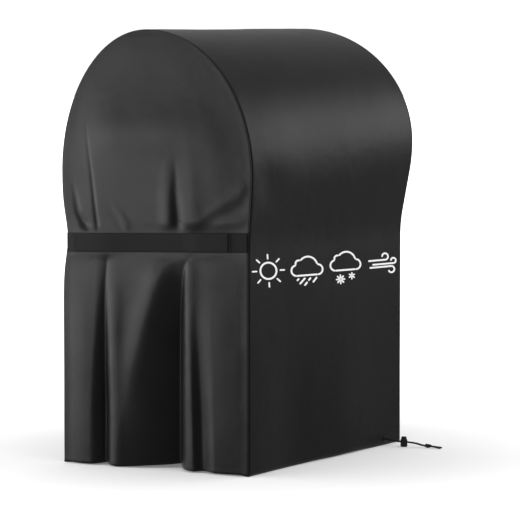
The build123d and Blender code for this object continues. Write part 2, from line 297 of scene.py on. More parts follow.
def bumps(tree, shader, layers):
    """Stacks heights, each (socket, strength, depth in metres), into the shader's normal."""
    normal = None
    for height, strength, depth in layers:
        bump = node(tree, "ShaderNodeBump")
        bump.inputs["Strength"].default_value = strength
        bump.inputs["Distance"].default_value = depth
        tree.links.new(height, bump.inputs["Height"])
        if normal:
            tree.links.new(normal, bump.inputs["Normal"])
        normal = bump.outputs["Normal"]
    tree.links.new(normal, shader.inputs["Normal"])


def woven(name, dark, light, roughness, threads, weave_depth, rumple_depth, laid=True, **constants):
    """A woven cloth, tape or cord with soft rumples; where it is laid, the weave follows the piece."""
    material, tree, shader = new_material(name, roughness, **constants)
    place = node(tree, "ShaderNodeTexCoord").outputs["Object"]
    follow = node(tree, "ShaderNodeUVMap", uv_map="cloth").outputs["UV"] if laid else place
    rumple = add_group(tree, RUMPLE, place)
    weave = add_group(tree, WEAVE, follow, Count=threads)
    spread(tree, rumple.outputs["Drift"], dark, light, shader.inputs["Base Color"])
    spread(tree, rumple.outputs["Drift"], roughness - 0.04, roughness + 0.05, shader.inputs["Roughness"])
    layers = [(rumple.outputs["Height"], 0.5, rumple_depth), (weave.outputs["Height"], 0.35, weave_depth)]
    bumps(tree, shader, layers)
    return material


def moulded(name, colour, roughness, grain, **constants):
    """Plastic, metal or enamel with a fine grain."""
    material, tree, shader = new_material(name, roughness, **constants)
    place = node(tree, "ShaderNodeTexCoord").outputs["Object"]
    speck = node(tree, "ShaderNodeTexNoise")
    speck.inputs["Scale"].default_value = 900.0
    speck.inputs["Detail"].default_value = 3.0
    tree.links.new(place, speck.inputs["Vector"])
    darker = tuple(0.8 * c for c in colour)
    spread(tree, speck.outputs["Fac"], darker, colour, shader.inputs["Base Color"])
    spread(tree, speck.outputs["Fac"], roughness - 0.08, roughness + 0.08, shader.inputs["Roughness"])
    bumps(tree, shader, [(speck.outputs["Fac"], 0.3, grain)])
    return material


CLOTH_BLACK = woven(
    "coated_cloth", (0.0014, 0.0014, 0.0015), (0.0024, 0.0024, 0.0025), 0.41, 1300, 0.00012, 0.003,
    Specular_IOR_Level=0.5,
)
WEBBING = woven(
    "strap_webbing", (0.004, 0.004, 0.0043), (0.006, 0.006, 0.0064), 0.52, 700, 0.0004, 0.001,
    Specular_IOR_Level=0.2,
)
BINDING = woven(
    "seam_binding", (0.010, 0.010, 0.011), (0.015, 0.015, 0.016), 0.7, 900, 0.0003, 0.001,
    Specular_IOR_Level=0.3,
)
HOOK_TAPE = woven(
    "hook_tape", (0.008, 0.008, 0.009), (0.014, 0.014, 0.015), 0.55, 600, 0.0009, 0.0005, laid=False
)
LOOP_TAPE = woven(
    "loop_tape", (0.011, 0.011, 0.012), (0.018, 0.018, 0.019), 0.95, 450, 0.0009, 0.0008, laid=False
)
INK = woven("print_ink", (0.90, 0.90, 0.90), (0.95, 0.95, 0.95), 0.55, 1300, 0.0001, 0.001)
THREAD = woven(
    "black_thread", (0.010, 0.010, 0.011), (0.020, 0.020, 0.021), 0.5, 2500, 0.0002, 0.0002, laid=False
)
CORD_BLACK = woven(
    "braided_cord", (0.006, 0.006, 0.0065), (0.011, 0.011, 0.012), 0.6, 900, 0.0005, 0.0004, laid=False
)
PLASTIC = moulded("lock_plastic", (0.013, 0.013, 0.014), 0.42, 0.00004)
ENAMEL = moulded("eyelet_enamel", (0.018, 0.018, 0.020), 0.3, 0.00002)
SPRING_STEEL = moulded("spring_steel", (0.55, 0.55, 0.56), 0.3, 0.00001, Metallic=1.0)

# ---- mesh making


def finish_mesh(bm, name, material, body="cover"):
    """Turns a bmesh into a smooth piece that rides on a body."""
    mesh = bpy.data.meshes.new(name)
    bm.to_mesh(mesh)
    bm.free()
    mesh.materials.append(material)
    for face in mesh.polygons:
        face.use_smooth = True
    obj = bpy.data.objects.new(name, mesh)
    bpy.context.scene.collection.objects.link(obj)
    if body:
        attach(obj, body)
    return obj


def place_grid(bm, across, along, place, size, flip=False):
    """Adds a grid whose points are put where place(u, v) says; its cloth map is in metres."""
    cloth_map = bm.loops.layers.uv.get("cloth") or bm.loops.layers.uv.new("cloth")
    made = bmesh.ops.create_grid(bm, x_segments=across, y_segments=along, size=0.5)["verts"]
    share = {vert: (vert.co.x + 0.5, vert.co.y + 0.5) for vert in made}
    faces = {face for vert in made for face in vert.link_faces}
    for face in faces:
        for loop in face.loops:
            u, v = share[loop.vert]
            loop[cloth_map].uv = (u * size[0], v * size[1])
    for vert, (u, v) in share.items():
        vert.co = place(u, v)
    if flip:
        bmesh.ops.reverse_faces(bm, faces=list(faces))
    return made


def close_tube(bm, gap=1e-6, turn_out=False):
    """Joins a tube's meeting edges and fills its ends."""
    bmesh.ops.remove_doubles(bm, verts=bm.verts, dist=gap)
    bmesh.ops.holes_fill(bm, edges=bm.edges, sides=0)
    if turn_out:
        bmesh.ops.recalc_face_normals(bm, faces=bm.faces)


def cloth_grid(name, across, along, place, size, material, flip=False, thick=CLOTH):
    """A sheet of cloth made from one grid, with its real thickness on the inside."""
    bm = bmesh.new()
    place_grid(bm, across, along, place, size, flip)
    bmesh.ops.remove_doubles(bm, verts=bm.verts, dist=1e-6)
    obj = finish_mesh(bm, name, material)
    wall = obj.modifiers.new("cloth_thickness", "SOLIDIFY")
    wall.thickness = thick
    wall.offset = -1.0
    return obj


# ---- the cover's shape


def bulge_at(x):
    share = (x + HALF_LENGTH) / LENGTH
    return mix(BULGE_LEFT[0], BULGE_RIGHT[0], share), mix(BULGE_LEFT[1], BULGE_RIGHT[1], share)


def wall_share(w):
    """0 to 1, straight with softened ends."""
    w = clamp(w)
    ramp = 0.3
    slope = 1 / (1 - ramp)
    if w < ramp:
        return slope * w * w / (2 * ramp)
    if w > 1 - ramp:
        return 1 - slope * (1 - w) ** 2 / (2 * ramp)
    return slope * (w - ramp / 2)


PINCH_DEPTH = 0.013  # how far a strap draws in the back seam
PINCH_REACH_X = 0.10
PINCH_REACH_Z = 0.07


def wall_reach(x, z, back):
    """Half depth of the front or back wall at height z below the fullest place."""
    half, level = bulge_at(x)
    foot = HALF_DEPTH + (BACK_SPREAD if back else 0)
    reach = mix(foot, half, wall_share((z - WAIST) / (level - WAIST)))
    if back:
        nearness = hump(HALF_LENGTH - abs(x), PINCH_REACH_X)
        reach -= PINCH_DEPTH * hump(z - STRAP_Z - 0.006, PINCH_REACH_Z) * nearness
    return reach


def outline(x, a):
    """(y, z) on the end view at x; a is 0 at the front foot, 2 at the apex, 4 at the back foot."""
    half, level = bulge_at(x)
    if a <= 1 or a >= 3:
        back = a >= 3
        z = (4 - a if back else a) * level
        return wall_reach(x, z, back) * (1 if back else -1), z
    turn = pi * (3 - a) / 2
    wide = half + APEX_BACK if a < 2 else half - APEX_BACK
    return APEX_BACK + wide * cos(turn), level + (HEIGHT - level) * sin(turn)


def outline_normal(x, a):
    """Outward direction in the end view."""
    step = 0.004
    low = outline(x, clamp(a - step, 0, 4))
    high = outline(x, clamp(a + step, 0, 4))
    run = Vector((0, high[0] - low[0], high[1] - low[1])).normalized()
    return Vector((0, -run.z, run.y))


def end_span(x, z):
    """Front and back y of the end view at height z."""
    half, level = bulge_at(x)
    if z <= level:
        return -wall_reach(x, z, False), wall_reach(x, z, True)
    rise = (z - level) / (HEIGHT - level)
    chord = (1 - min(rise, 1) ** 2) ** 0.5
    return APEX_BACK - (half + APEX_BACK) * chord, APEX_BACK + (half - APEX_BACK) * chord


# ---- folds in the end gussets


def strap_z(y):
    return STRAP_Z - STRAP_RISE * y


def strap_rest(y):
    """How far the cloth holds the strap off the gusset's flat plane: it rides over soft bulges."""
    return 0.0014 + 0.0044 * hump(y - 0.160, 0.075)


def crease(y, z, path, wide, deep):
    """A soft ridge along a path of (y, z) points; wide and deep change from its first to last point."""
    best = None
    done = 0.0
    lengths = [hypot(b[0] - a[0], b[1] - a[1]) for a, b in zip(path, path[1:])]
    total = sum(lengths)
    for (a, b), length in zip(zip(path, path[1:]), lengths):
        way = ((b[0] - a[0]) / length, (b[1] - a[1]) / length)
        along = (y - a[0]) * way[0] + (z - a[1]) * way[1]
        held = clamp(along, 0, length)
        apart = hypot(y - a[0] - way[0] * held, z - a[1] - way[1] * held)
        if best is None or apart < best[0]:
            best = (apart, (done + held) / total)
        done += length
    apart, share = best
    width = mix(wide[0], wide[1], share)
    if apart > 3 * width:
        return 0.0
    return mix(deep[0], deep[1], share) * hump(apart, width)


def soft_most(a, b, blend):
    """The larger of two heights, rounded where they meet."""
    return max(a, b) + blend * log(1 + exp(-abs(a - b) / blend))


def deep_fold(y, ridge, lip, depth, curl, steep, ease):
    """A fold that falls ever faster from its ridge, then climbs steeply to a rounded lip."""
    if depth < 1e-5 or y > ridge or y < lip - 8 * curl:
        return 0.0
    foot = lip + depth / steep
    flank = -depth * max((ridge - y) / max(ridge - foot, 0.01), 0.0) ** ease
    wall = -steep * curl * log(1 + exp(min((y - lip) / curl, 60)))
    return min(soft_most(flank, wall, 0.06 * depth), 0.0)


SKIRT_TOP = 0.542  # the skirt folds start below the strap


def skirt_folds(y, z):
    """Long folds that hang from the strap to the hem."""
    if z > SKIRT_TOP + 0.03:
        return 0.0
    drop = clamp((SKIRT_TOP - z) / SKIRT_TOP)
    out = 0.0
    # the large fold, drawn to a point under the strap
    dark_edge = 0.084 - 0.130 * (1 - drop) ** 1.7
    depth = 0.060 * smooth(drop * 2.6) ** 0.8 * (0.30 + 0.70 * drop) + 0.004 * smooth(drop * 12)
    out += deep_fold(y, dark_edge + 0.034 - 0.022 * (1 - drop), -0.068, depth, 0.016, 2.0, 1.9)
    out += 0.0056 * hump(y - dark_edge - 0.018, 0.034) * smooth(drop * 8) * (1 - 0.7 * drop)
    # the lip that stands in front of it
    out += 0.007 * hump(y + 0.094 + 0.006 * drop, 0.024) * smooth(drop * 12) * (1 - 0.75 * drop)
    # second channel, nearer the front
    apart = y + 0.119 + 0.015 * drop
    depth = 0.012 * smooth((drop - 0.10) * 1.3)
    out -= depth * (1 - smooth(apart / 0.024 if apart > 0 else -apart / 0.042))
    # channel near the back seam
    open_wide = 0.35 + 0.65 * smooth(drop * 1.2)
    depth = 0.002 * smooth(drop * 20) + 0.019 * smooth(drop * 1.3)
    out += deep_fold(y, 0.163 + 0.030 * open_wide, 0.158 - 0.022 * open_wide, depth, 0.010, 1.0, 2.0)
    out += 0.006 * hump(y - 0.121 + 0.004 * drop, 0.024) * smooth(drop * 2.5)
    out += 0.005 * hump(y - 0.215, 0.035) * smooth(drop * 2)
    # slow waves in the smooth part by the front seam
    out += 0.0015 * hump(y + 0.20, 0.05) * smooth(drop * 2)
    return out


UPPER_FOOT = 0.55  # the upper folds end behind the strap
UPPER_CREASES = (
    # path of (y, z) points, widths and depths at its two ends; a channel has a depth below 0
    (((0.202, 0.850), (0.170, 0.592)), (0.0045, 0.0065), (-0.0005, -0.0032)),
    (((0.243, 0.700), (0.230, 0.637), (0.200, 0.590)), (0.007, 0.012), (-0.0008, -0.0062)),
    (((0.128, 0.640), (0.093, 0.592)), (0.007, 0.010), (-0.0003, -0.0016)),
    (((0.118, 0.655), (0.078, 0.597)), (0.010, 0.012), (0.0005, 0.003)),
    (((-0.062, 0.765), (-0.062, 0.690), (-0.068, 0.575)), (0.009, 0.015), (-0.0006, -0.0070)),
    (((-0.036, 0.750), (-0.038, 0.575)), (0.018, 0.022), (0.001, 0.0055)),
    (((-0.104, 0.770), (-0.116, 0.575)), (0.024, 0.033), (0.001, 0.0056)),
    (((-0.112, 0.607), (-0.175, 0.655), (-0.258, 0.704)), (0.009, 0.018), (0.0004, 0.0024)),
    (((-0.112, 0.598), (-0.175, 0.628), (-0.262, 0.656)), (0.009, 0.018), (-0.0003, -0.0017)),
    (((-0.125, 0.590), (-0.185, 0.614), (-0.255, 0.632)), (0.010, 0.020), (0.0004, 0.0015)),
)


def upper_folds(y, z):
    """Creases that the strap gathers above itself."""
    if z < UPPER_FOOT:
        return 0.0
    out = sum(crease(y, z, *fold) for fold in UPPER_CREASES)
    out += 0.007 * hump(z - 0.832, 0.070) * smooth((0.235 - abs(y - 0.01)) / 0.14)
    out -= 0.002 * hump(z - 0.670, 0.05) * hump(y - 0.085, 0.07)
    return out


def gusset_out(side, y, z):
    """How far a gusset stands out from its flat seam plane."""
    front, back = end_span(side * HALF_LENGTH, z)
    edge = max(min(y - front, back - y, 1.6 * (HEIGHT - z) + 0.004), 0.0)
    seen = y if side < 0 else 0.9 * y + 0.012
    drift = 0.0 if side < 0 else 0.018 * sin(5 * z)
    folds = skirt_folds(seen + drift, z) + upper_folds(seen - drift, z)
    billow = 0.0055 * smooth(edge / 0.12) * (1 - 0.8 * smooth((z - 0.84) / 0.2))
    billow += 0.0016 * sway(y, z, 9, 3.1 + side)
    band = abs(z - strap_z(y)) / (STRAP_WIDTH / 2)
    held = 1 - smooth((band - 0.9) / 1.3)
    loose = 0.35 + 0.65 * smooth((band - 0.9) / 3.5)
    under_strap = mix(-0.0015, strap_rest(y) - 0.0008, smooth((y + 0.125) / 0.04))
    out = (folds + billow * loose) * (1 - held) + held * under_strap
    return out * smooth(edge / 0.034)


FOOT_Z = 0.015  # the height at which a fold decides how far its foot lifts
GROUND_GAP = 0.0003


def foot_lift(y, out):
    """The hem rises a little where the cloth is drawn in."""
    return clamp(0.0035 - 0.13 * out + 0.0015 * sway(y, 0, 14, 8.2), 0.0, 0.014)


def settle(z, lift):
    """Height z with the foot lifted, fading out upwards."""
    return z + lift * (1 - smooth(z / 0.30))


def gusset_point(side, y, z):
    """A point of a gusset's outer face, with its foot settled on the ground."""
    out = gusset_out(side, y, z)
    lift = foot_lift(y, gusset_out(side, y, FOOT_Z))
    front, back = end_span(side * HALF_LENGTH, FOOT_Z)
    corner = smooth(min(y - front, back - y) / 0.03)
    return Vector((side * (HALF_LENGTH + out), y, settle(z, mix(GROUND_GAP, lift, corner))))


# ---- the wrap panel


def wrap_out(x, a):
    """Slow waves in the wrap panel, none at its seams."""
    y, z = outline(x, a)
    edge = smooth((HALF_LENGTH - abs(x)) / 0.08)
    out = 0.0014 * sway(x, a * 0.6, 4, 1.3) + 0.0003 * sway(x, a * 0.6, 13, 4.4)
    if a > 2.6:
        low = smooth((0.62 - z) / 0.5)
        waves = 0.010 * hump(x + 0.16, 0.05) - 0.012 * hump(x + 0.05, 0.035)
        out += low * (waves + 0.008 * hump(x - 0.14, 0.06))
    if a < 1.2:
        out -= 0.004 * hump(hypot((x + 0.33) * 0.6, z - 0.71), 0.05)
        out += 0.004 * smooth((0.5 - z) / 0.4) * (hump(x - 0.1, 0.12) - hump(x + 0.18, 0.10))
    calm = 1 - hump(hypot(x - EYELET_X, z - 0.02), 0.07) if a < 1 else 1.0
    return out * edge * calm


def wrap_point(x, a):
    """A point of the wrap panel's outer face, with its foot settled on the ground."""
    y, z = outline(x, a)
    spot = Vector((x, y, z)) + outline_normal(x, a) * wrap_out(x, a)
    lift = 0.0015 + 0.002 * sway(x, 0 if a < 2 else 3, 9, 2.2)
    lift *= smooth((HALF_LENGTH - abs(x)) / 0.05)
    if a < 2:
        lift *= 1 - hump(x - EYELET_X, 0.05)
    spot.z = settle(spot.z, max(lift, GROUND_GAP))
    return spot


CLOTH_FOOT = 0.0012  # the panels fold under here, into the hem
SEAM_GROOVE = 0.0007


def wrap_place(u, v):
    """The wrap panel from hem to hem; its end edges tuck in at the seams."""
    x = mix(-HALF_LENGTH, HALF_LENGTH, u)
    level = bulge_at(x)[1]
    a = mix(CLOTH_FOOT / level, 4 - CLOTH_FOOT / level, v)
    tuck = 1 - smooth((HALF_LENGTH - abs(x)) / 0.003)
    return wrap_point(x, a) - outline_normal(x, a) * tuck * SEAM_GROOVE


def gusset_place(side):
    """Places a gusset's grid: rows climb from the hem, and crowd together towards the apex."""

    def place(u, v):
        x = side * HALF_LENGTH
        level = bulge_at(x)[1]
        bend = 0.62
        if v < bend:
            z = mix(CLOTH_FOOT, level, v / bend)
        else:
            z = level + (HEIGHT - level - 0.0008) * sin((v - bend) / (1 - bend) * pi / 2)
        front, back = end_span(x, z)
        y = mix(front + 0.0008, back - 0.0008, u)
        spot = gusset_point(side, y, z)
        edge = min(y - front, back - y, HEIGHT - z)
        spot.x -= side * SEAM_GROOVE * (1 - smooth(edge / 0.003))
        return spot

    return place


WRAP_RUN = 2.6  # from hem to hem, over the top


def build_panels():
    size = (LENGTH, WRAP_RUN)
    wrap = cloth_grid("wrap_panel", 100, 380, wrap_place, size, CLOTH_BLACK)
    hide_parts("main_panel")
    for side, name in ((-1, "left"), (1, "right")):
        gusset = cloth_grid(
            f"{name}_end_gusset", 190, 210, gusset_place(side), (0.55, 1.06), CLOTH_BLACK,
            flip=side < 0,
        )
        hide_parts(f"{name}_gusset")


build_panels()

# ---- hems
HEM_TOP = 0.0315
HEM_MIDDLE = -0.0046  # the channel lies on the inner side of the cloth
HEM_HALF_THICK = 0.0035


def hem_skin(run, u, out, rise):
    """A point on one side's hem: share u along it, out from the cloth's face, rise above the foot."""
    if run in ("left", "right"):
        side = -1 if run == "left" else 1
        front, back = end_span(side * HALF_LENGTH, rise)
        y = mix(front - out, back + out, u)
        slope = (gusset_out(side, y + 0.002, rise) - gusset_out(side, y - 0.002, rise)) / 0.004
        return gusset_point(side, y, rise) + Vector((side, -slope, 0)).normalized() * out
    x = mix(-HALF_LENGTH - out, HALF_LENGTH + out, u)
    a = rise / bulge_at(x)[1]
    if run == "back":
        a = 4 - a
    return wrap_point(x, a) + outline_normal(x, a) * out


def squared(value, power):
    return abs(value) ** power * (1 if value > 0 else -1)


def hem_section(v):
    """(out, rise) round the flattened channel: folded round below, sewn flat above."""
    turn = 2 * pi * v
    corner = 0.5 if cos(turn) > 0 else 0.22
    rise = HEM_TOP / 2 * (1 - squared(cos(turn), corner))
    return HEM_MIDDLE + HEM_HALF_THICK * squared(sin(turn), corner), rise


CORNER_TUCK = 0.0012


def build_hem(run, along, flip):
    """One stretch of the folded hem channel; flip where u and v would turn it inside out."""
    length = LENGTH if run in ("front", "back") else 2 * HALF_DEPTH

    def place(u, v):
        out, rise = hem_section(v)
        tuck = CORNER_TUCK * (1 - smooth(min(u, 1 - u) * length / 0.004))
        return hem_skin(run, u, out - tuck, rise)

    bm = bmesh.new()
    place_grid(bm, along, 22, place, (length, 0.07), flip)
    close_tube(bm, 1e-5)
    hem = finish_mesh(bm, f"{run}_hem_channel", CLOTH_BLACK)
    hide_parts(f"hem_{run}")


def build_drawcord_ring():
    """The drawcord where it runs inside the hem, out to the eyelet at both ends."""
    bm = bmesh.new()
    exits = (STRAND_A[0][0], STRAND_B[0][0])
    shares = [(x + HALF_LENGTH) / LENGTH for x in exits]
    spans = [("front", 0.0, shares[0]), ("front", shares[1], 1.0)]
    spans += [(run, 0.0, 1.0) for run in ("left", "back", "right")]
    for run, first, last in spans:

        def place(u, v):
            turn = 2 * pi * v
            out = HEM_MIDDLE + CORD_DIAMETER / 2 * cos(turn)
            return hem_skin(run, mix(first, last, u), out, EYELET_Z + CORD_DIAMETER / 2 * sin(turn))

        place_grid(bm, 120, 8, place, (0.8, 0.0125), run in ("front", "right"))
    for x in exits:

        def turn_out(u, v):
            turn = 2 * pi * v
            radius = CORD_DIAMETER / 2 * 0.98
            y = mix(-HALF_DEPTH - HEM_MIDDLE, STRAND_A[0][1] + 0.0006, u)
            return Vector((x + radius * cos(turn), y, EYELET_Z + radius * sin(turn)))

        place_grid(bm, 3, 12, turn_out, (0.01, 0.0125))
    close_tube(bm, 1e-5, turn_out=True)
    ring = finish_mesh(bm, "drawcord_round_hem", CORD_BLACK)
    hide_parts("drawcord_in_hem")


build_hem("front", 150, False)
build_hem("back", 150, True)
build_hem("left", 260, True)
build_hem("right", 260, False)
build_drawcord_ring()

# ---- thread
STITCH_PITCH = 0.0046
STITCH_LENGTH = 0.0032
THREAD_RADIUS = 0.00024
STITCH_BATCH = 40


def stitch_places(line):
    """Where each small stitch of a row lies, along a line of close points."""
    due = STITCH_PITCH / 2
    done = 0.0
    for a, b in zip(line, line[1:]):
        length = (b - a).length
        while due < done + length:
            spot = a.lerp(b, (due - done) / length)
            turn = (b - a).to_track_quat("Z", "X").to_matrix().to_4x4()
            size = Matrix.Diagonal((THREAD_RADIUS, THREAD_RADIUS, STITCH_LENGTH / 2, 1))
            yield Matrix.Translation(spot) @ turn @ size
            due += STITCH_PITCH
        done += length


def stitching(name, lines, body="cover"):
    """Rows of stitches as one piece, sewn a short batch at a time."""
    places = [place for line in lines for place in stitch_places(line)]
    bm = bmesh.new()
    batch_mesh = bpy.data.meshes.new("stitch_batch")
    for first in range(0, len(places), STITCH_BATCH):
        batch = bmesh.new()
        batch.loops.layers.uv.new("cloth")
        for place in places[first : first + STITCH_BATCH]:
            bmesh.ops.create_uvsphere(batch, u_segments=6, v_segments=4, radius=1, matrix=place)
        batch.to_mesh(batch_mesh)
        batch.free()
        bm.from_mesh(batch_mesh)
    bpy.data.meshes.remove(batch_mesh)
    return finish_mesh(bm, name, THREAD, body)


def run_of(place, count):
    """Close points along place(u), u from 0 to 1."""
    return [place(i / count) for i in range(count + 1)]


WELT_RADIUS = 0.0008
WELT_SUNK = 0.0007


def build_seams():
    """A corded welt and a row of topstitching along both gusset seams, and the tape inside."""
    for side, name in ((-1, "left"), (1, "right")):
        edge_x = side * HALF_LENGTH
        start = HEM_HEIGHT / bulge_at(edge_x)[1]

        def welt(u, v):
            a = mix(0.0006, 3.9994, u)
            turn = 2 * pi * v
            spot = wrap_point(edge_x, a)
            spot += outline_normal(edge_x, a) * (WELT_RADIUS * cos(turn) - WELT_SUNK)
            spot.x += side * (WELT_RADIUS * sin(turn) - WELT_SUNK)
            return spot

        bm = bmesh.new()
        place_grid(bm, 420, 8, welt, (2.6, 0.008), side > 0)
        close_tube(bm)
        finish_mesh(bm, f"{name}_seam_welt", CLOTH_BLACK)

        def tape(u, v):
            a = mix(start, 4 - start, v)
            x = edge_x - side * (0.0025 + 0.014 * u)
            return wrap_point(x, a) - outline_normal(x, a) * 0.0016

        binding = cloth_grid(
            f"{name}_seam_inside_tape", 4, 300, tape, (0.014, 2.6), BINDING,
            flip=side > 0, thick=0.0007,
        )
        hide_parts(f"{name}_seam_tape")

        def topstitch(u):
            a = mix(start * 0.3, 4 - start * 0.3, u)
            x = edge_x - side * 0.0065
            return wrap_point(x, a) + outline_normal(x, a) * 0.0002

        stitching(f"{name}_seam_topstitch", [run_of(topstitch, 700)])
    hem_lines = []
    for run in ("front", "back", "left", "right"):
        hem_lines.append(run_of(lambda u: hem_skin(run, mix(0.012, 0.988, u), 0.0001, 0.0275), 260))
    stitching("hem_topstitch", hem_lines)


build_seams()

# ---- straps
TAB_END = -0.140
STRAP_SEWN_END = 0.2615
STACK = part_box("left_strap_band")[0][0]  # the strap's outer face at the hook pad


def strap_rise_of(y):
    """How far the strap's inner face stands from the gusset's flat plane."""
    stacked = -STACK - HALF_LENGTH - STRAP_THICK
    out = mix(strap_rest(y), stacked, smooth((-0.075 - y) / 0.055))
    return out * smooth((STRAP_SEWN_END + 0.004 - y) / 0.03) + 0.0002


def ribbon_section(v, half_width, half_thick):
    """(across, through) round a woven ribbon with full edges."""
    turn = 2 * pi * v
    across = sin(turn)
    through = cos(turn)
    flat = (abs(across) ** 4 + abs(through) ** 4) ** 0.25
    across, through = across / flat, through / flat
    rounding = 1 - 0.25 * smooth((abs(across) - 0.93) / 0.07)
    return across * half_width, through * half_thick * rounding


def build_webbing(name, side, first, last, inner, parts, body="cover"):
    """A length of webbing across the gusset, from y first to last; inner(y) is its inner face."""
    half_thick = STRAP_THICK / 2

    def place(u, v):
        y = mix(first, last, u)
        across, through = ribbon_section(v, STRAP_WIDTH / 2, half_thick)
        ends = min(u, 1 - u) * abs(last - first)
        through *= 0.55 + 0.45 * smooth(ends / 0.002)
        x = side * (HALF_LENGTH + inner(y) + half_thick + through)
        return Vector((x, y, strap_z(y) + across))

    bm = bmesh.new()
    place_grid(bm, parts, 24, place, (abs(last - first), 0.1), side < 0)
    close_tube(bm)
    return finish_mesh(bm, name, WEBBING, body)


PAD_WIDTH = STRAP_WIDTH - 0.004


def pad_backing(low, high, thick):
    """The flat backing of a hook or loop pad, with softened edges, between two planes of x."""
    middle_y = (low[1] + high[1]) / 2
    sizes = (thick, high[1] - low[1], PAD_WIDTH)
    bm = bmesh.new()
    bmesh.ops.create_cube(bm, size=1)
    bmesh.ops.scale(bm, vec=sizes, verts=bm.verts)
    bmesh.ops.bevel(
        bm, geom=bm.edges, offset=sizes[0] * 0.3, affect="EDGES", segments=2, profile=0.5, material=-1
    )
    bmesh.ops.rotate(bm, verts=bm.verts, matrix=Matrix.Rotation(-STRAP_RISE, 3, "X"))
    bmesh.ops.translate(bm, verts=bm.verts, vec=((low[0] + high[0]) / 2, middle_y, strap_z(middle_y)))
    return bm


def build_loop_pad(name, side):
    """A pad whose outer face is a nap of small loops."""
    low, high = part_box(f"{name}_loop_pad")
    bm = pad_backing(low, high, high[0] - low[0])
    loop_face = [f for f in bm.faces if f.normal.x * side > 0.9]
    edges = list({e for f in loop_face for e in f.edges})
    bmesh.ops.subdivide_edges(bm, edges=edges, cuts=24, use_grid_fill=True)
    for vert in {v for f in bm.faces if f.normal.x * side > 0.9 for v in f.verts}:
        vert.co.x -= side * 0.00025 * (0.5 + noise.noise(vert.co * 900))
    pad = finish_mesh(bm, f"{name}_loop_side", LOOP_TAPE)
    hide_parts(f"{name}_loop_pad")


def build_hook_pad(name, side, body):
    """A thin backing on the flap, with rows of hooks that reach down to the loops."""
    low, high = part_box(f"{name}_hook_pad")
    thick = high[0] - low[0]
    outer = low.copy() if side < 0 else high.copy()
    inner = outer.copy()
    inner[0] -= side * thick / 2
    first = (min(outer[0], inner[0]), low[1])
    last = (max(outer[0], inner[0]), high[1])
    bm = pad_backing(first, last, thick / 2)
    rows, columns = 16, 22
    for row in range(rows):
        for column in range(columns):
            y = mix(low[1] + 0.003, high[1] - 0.003, (column + 0.5 * (row % 2)) / (columns - 0.5))
            z = strap_z(y) + (row + 0.5 - rows / 2) * PAD_WIDTH / rows
            x = outer[0] - side * thick * 0.72
            place = Matrix.Translation((x, y, z)) @ Matrix.Diagonal((thick * 0.26, 0.0005, 0.0005, 1))
            bmesh.ops.create_icosphere(bm, subdivisions=1, radius=1, matrix=place)
    pad = finish_mesh(bm, f"{name}_hook_side", HOOK_TAPE, body)
    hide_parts(f"{name}_hook_pad")


def build_strap(side, name):
    """The strap, its tab, pads and stitching; the hook pad and the flap's stitching ride on the flap."""
    body = f"{name}_strap_flap"
    strap = build_webbing(
        f"{name}_strap_webbing", side, STRAP_FREE_END, STRAP_SEWN_END, strap_rise_of, 240, body=None
    )
    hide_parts(f"{name}_strap_band", f"{name}_strap_end")
    tab = build_webbing(f"{name}_front_tab", side, -HALF_DEPTH + 0.002, TAB_END, lambda y: 0.0, 60)
    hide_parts(f"{name}_strap_tab")

    build_loop_pad(name, side)
    build_hook_pad(name, side, body)

    def face_line(y_first, y_last, across_first, across_last, inner):
        def spot(u):
            y = mix(y_first, y_last, u)
            x = side * (HALF_LENGTH + inner(y) + STRAP_THICK)
            return Vector((x, y, strap_z(y) + mix(across_first, across_last, u)))

        return run_of(spot, 40)

    def box_lines(y_first, y_last, inner):
        half = STRAP_WIDTH / 2 - 0.0035
        return [
            face_line(y_first, y_last, half, half, inner),
            face_line(y_first, y_last, -half, -half, inner),
            face_line(y_first, y_first, -half, half, inner),
            face_line(y_last, y_last, -half, half, inner),
        ]

    sewn = box_lines(0.236, 0.256, strap_rise_of) + box_lines(-0.261, -0.246, lambda y: 0.0)
    stitching(f"{name}_strap_stitching", sewn)
    stitching(f"{name}_flap_stitching", box_lines(-0.2085, -0.1600, strap_rise_of), body)

    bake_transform(strap)


build_strap(-1, "left")
build_strap(1, "right")

# ---- weather prints
PRINT_UNIT = 0.00265  # the artwork's unit
PRINT_STRETCH = 1.95  # the prints are drawn out along the cover
PRINT_LEAN = 0.131  # and fall a little towards the right
PRINT_PROUD = 0.0004
STROKE = 1.75  # width of a printed line, in artwork units


def print_spot(centre, a, b):
    """A point of the artwork laid on the front of the cover."""
    x = centre[0] + PRINT_STRETCH * PRINT_UNIT * a
    z = centre[1] + PRINT_UNIT * (b - PRINT_LEAN * a)
    turn = z / bulge_at(x)[1]
    return wrap_point(x, turn) + outline_normal(x, turn) * PRINT_PROUD


def add_stroke(bm, centre, line, length, width, parts, closed=False):
    """A stroke of ink. line(s) gives its middle and direction at length s; its ends are round."""

    def place(u, v):
        s = u * length
        cap = width / 2
        reach = 1.0
        if not closed:
            spare = min(s, length - s)
            reach = (1 - (1 - min(spare / cap, 1)) ** 2) ** 0.5
        (a, b), (run_a, run_b) = line(s)
        across = (v - 0.5) * width * max(reach, 0.02)
        return print_spot(centre, a - run_b * across, b + run_a * across)

    made = place_grid(bm, parts, 3, place, (length * PRINT_UNIT, width * PRINT_UNIT))
    bmesh.ops.remove_doubles(bm, verts=made, dist=1e-6)


def add_bar(bm, centre, first, last, width):
    """A straight stroke between two points, which are the ends of its middle line."""
    run = Vector(last) - Vector(first)
    way = run.normalized()
    start = Vector(first) - way * width / 2
    length = run.length + width
    add_stroke(bm, centre, lambda s: (start + way * s, way), length, width, 14)


